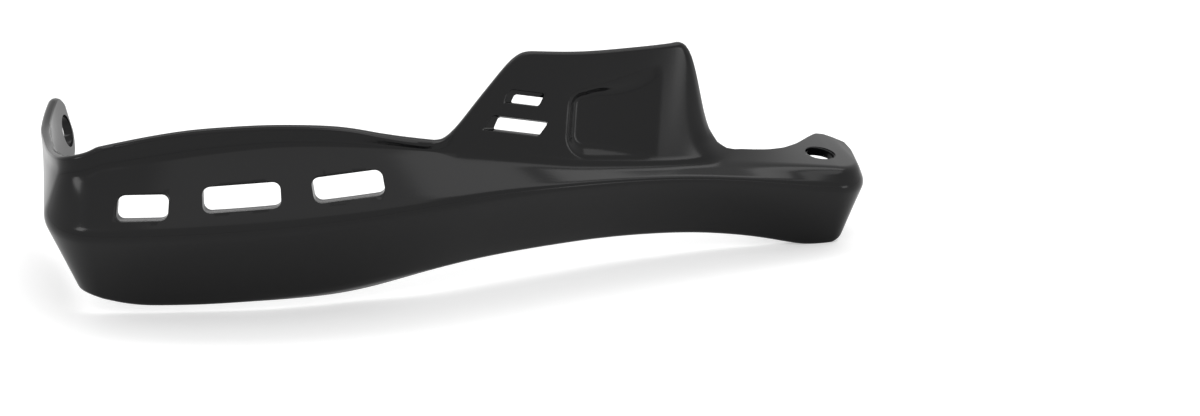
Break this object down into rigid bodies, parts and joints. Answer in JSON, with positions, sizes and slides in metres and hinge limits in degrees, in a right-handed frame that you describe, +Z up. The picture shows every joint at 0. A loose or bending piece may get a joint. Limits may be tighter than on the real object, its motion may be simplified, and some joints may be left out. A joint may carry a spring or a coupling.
{
  "type": "motorcycle hand guard",
  "caption": "Moulded hand guard for one handlebar end, with slots in its blade, a raised wind deflector with vents, an outer bolt ear and an inner mounting plate.",
  "frame": {"origin": "middle of the bar-end bore, where it leaves the inner face of the ear", "axes": "+X from the bar end along the guard to the inner mounting plate, +Y towards the rider, +Z up"},
  "size_m": [0.2824, 0.0992, 0.0791],
  "materials": {
    "black_plastic": "semi-gloss moulded black"
  },
  "bodies": {
    "root": {"guard": "black_plastic"}
  },
  "joints": []
}
